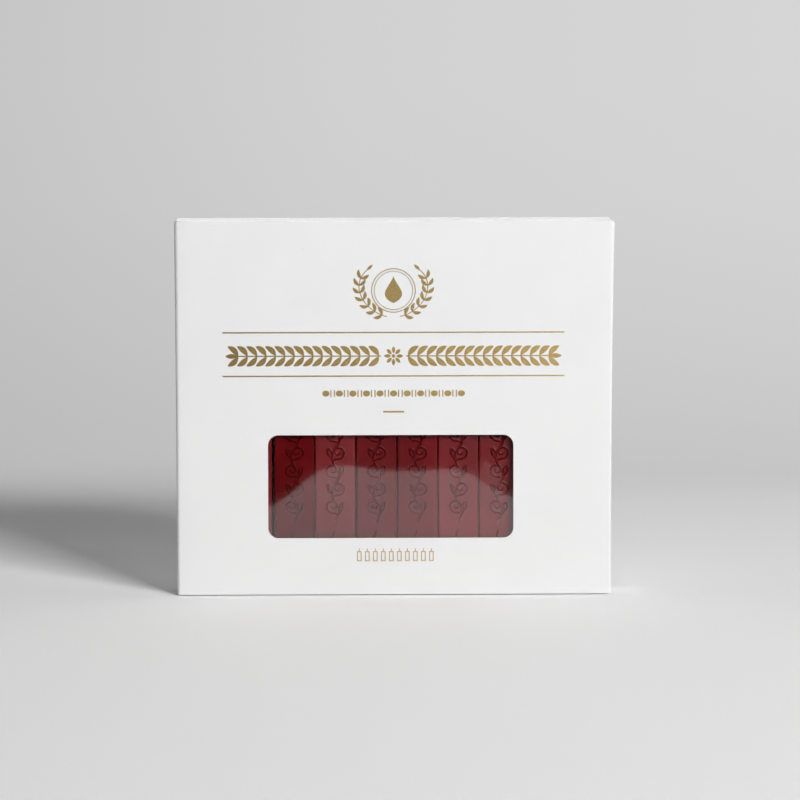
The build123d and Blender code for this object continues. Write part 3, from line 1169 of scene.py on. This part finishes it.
def stage_material():
    """Matt paper, its tone ramped from front to back as painted light and darkened just before the carton's
    foot as painted shade; what the camera and reflections see of its far, rising part is a glow with a studio
    gradient of painted light.
    """
    graph = new_graph("stage")
    axes = graph.axes()
    # painted light: the paper's tone rises above white near the carton and falls towards the wall, standing
    # in for how the light falls over the floor
    depth = graph.ramp(
        graph.remap(axes["Y"], (-0.3, 0.5)),
        (0.0, 1.06), (0.16, 1.13), (0.25, 1.15), (0.35, 1.14), (0.4, 1.16), (0.5, 1.16), (0.61, 1.17),
        (0.68, 1.04), (0.8, 0.95), (0.9, 0.4), (1.0, 0.32),
    )
    # painted shade: the paper is darker in a strip just before the carton's foot
    across = graph.remap(graph.math("ABSOLUTE", axes["X"]), (0.066, 0.052), kind="SMOOTHSTEP")
    before = graph.remap(axes["Y"], (-0.036, -0.004), kind="SMOOTHSTEP")
    painted_foot_shade = graph.math("MULTIPLY", across, before)
    colour = graph.mix_colours(painted_foot_shade, depth, 0.83, "MULTIPLY")
    paper = graph.principled(Base_Color=colour, Roughness=0.7, Specular_IOR_Level=0.25)

    # painted light on the backdrop: a glow, seen by the camera and in reflections, lighter to the right and
    # upwards
    sideways = graph.ramp(graph.remap(axes["X"], (-0.17, 0.15)), (0.0, 0.55), (0.5, 0.638), (1.0, 0.668))
    height = graph.remap(axes["Z"], (0.0, 0.14))
    upward = graph.ramp(height, (0.0, 0.86), (0.115, 0.89), (0.265, 0.93), (0.525, 0.98), (0.8, 1.0))
    glow = graph.add("Emission", {"Color": graph.mix_colours(1.0, sideways, upward, "MULTIPLY")})["Emission"]
    rays = graph.add("LightPath", {})
    seen = graph.math("MAXIMUM", rays["Is Camera Ray"], rays["Is Glossy Ray"])
    far = graph.remap(axes["Y"], (0.20, 0.36), kind="SMOOTHSTEP")
    front = graph.mix_shaders(graph.math("MULTIPLY", far, seen), paper, glow)

    clear = graph.add("BsdfTransparent", {})["BSDF"]  # the stage doesn't hide the object from behind or below
    backfacing = graph.add("NewGeometry", {})["Backfacing"]
    return graph.surface(graph.mix_shaders(backfacing, front, clear))


def build_stage():
    material = stage_material()
    sweep = [(SHEET_FRONT, 0.0), (0.0, 0.0), (COVE_START, 0.0)]
    for angle in steps(0, 90, 24)[1:]:
        cos, sin = unit(angle)
        sweep.append((COVE_START + COVE_RADIUS * sin, COVE_RADIUS * (1 - cos)))
    sweep.append((COVE_START + COVE_RADIUS, WALL_TOP))
    for name, line in {"floor_sweep": sweep, "floor_front": [(FLOOR_FRONT, 0.0), (SHEET_FRONT, 0.0)]}.items():
        vertices = [(x, y, z) for y, z in line for x in (-STAGE_HALF, STAGE_HALF)]
        stage = new_object(name, vertices, join_rows(0, len(line), 2, False), [material])
        stage.location.z = -FLOOR_DROP
        if name == "floor_front":
            stage.visible_glossy = False  # past the bright sheet the film mirrors a dark room


# --- Lamps and world
KEY_AZIMUTH = 31.2  # degrees to the right of straight ahead
KEY_FLAT, KEY_UP = 1.8, 0.87  # how far off the key lamp stands, and how high
CARTON_MIDDLE = (0, 0, 0.05)


def add_lamp(name, power, size, at, target, spread=180, glossy=True):
    """A rectangular lamp; spread is the angle of its light in degrees, glossy whether reflections show it."""
    data = bpy.data.lights.new(name, "AREA")
    data.shape = "RECTANGLE"
    data.size, data.size_y = size
    data.energy = power
    data.spread = math.radians(spread)
    lamp = bpy.data.objects.new(name, data)
    lamp.visible_camera = False
    lamp.visible_glossy = glossy
    lamp.location = at
    lamp.rotation_euler = (Vector(target) - Vector(at)).to_track_quat("-Z", "Y").to_euler()
    bpy.context.scene.collection.objects.link(lamp)


def build_lamps():
    cos, sin = unit(KEY_AZIMUTH)
    add_lamp("key", 35.9, (0.82, 0.26), (KEY_FLAT * sin, -KEY_FLAT * cos, KEY_UP), CARTON_MIDDLE)
    add_lamp("top", 1.0, (1.1, 1.0), (0.2, -0.1, 1.0), (0, 0, 0.03))
    # two weak ones: over the top closure, and behind the carton, shining up the backdrop
    add_lamp("closure", 0.0032, (0.12, 0.0144), (0, 0, 0.114), (0, 0, 0.1), 12, False)
    add_lamp("back_card", 0.24, (0.26, 0.17), (0, 0.11, 0.002), (0, 0.11, 1.0), glossy=False)


def build_world():
    """Even fill for matt surfaces, a dark room with a paler ceiling for reflections, plain grey in view."""
    graph = Graph(bpy.data.worlds.new("world"))
    rays = graph.add("LightPath", {})
    fill = graph.add("Background", {"Color": 1, "Strength": 0.043})["Background"]
    room = graph.ramp(graph.axes("Generated")["Z"], (0.0, 0.01), (0.25, 0.03), (0.9, 0.5))
    mirrored = graph.add("Background", {"Color": room})["Background"]
    pale = graph.add("Background", {"Color": 0.62})["Background"]
    unseen = graph.mix_shaders(rays["Is Glossy Ray"], fill, mirrored)
    seen = graph.mix_shaders(rays["Is Camera Ray"], unseen, pale)
    bpy.context.scene.world = graph.surface(seen, "OutputWorld")
    bpy.context.scene.view_settings.view_transform = "Standard"


# --- The model
make_camera()
build_sleeve()
build_glue_tab()
for end in ("top", "bottom"):
    build_closure(end)
    for side in ("left", "right"):
        build_dust_flap(end, side)
build_film()
build_rules()
build_garland()
build_beads()
build_tally()
build_emblem()
plan = FacePlan()
for number, node in enumerate(STICKS, 1):
    build_stick(node, number, plan)
for number, node in enumerate(WICKS, 1):
    build_wick(node, number)
build_stage()
build_lamps()
build_world()
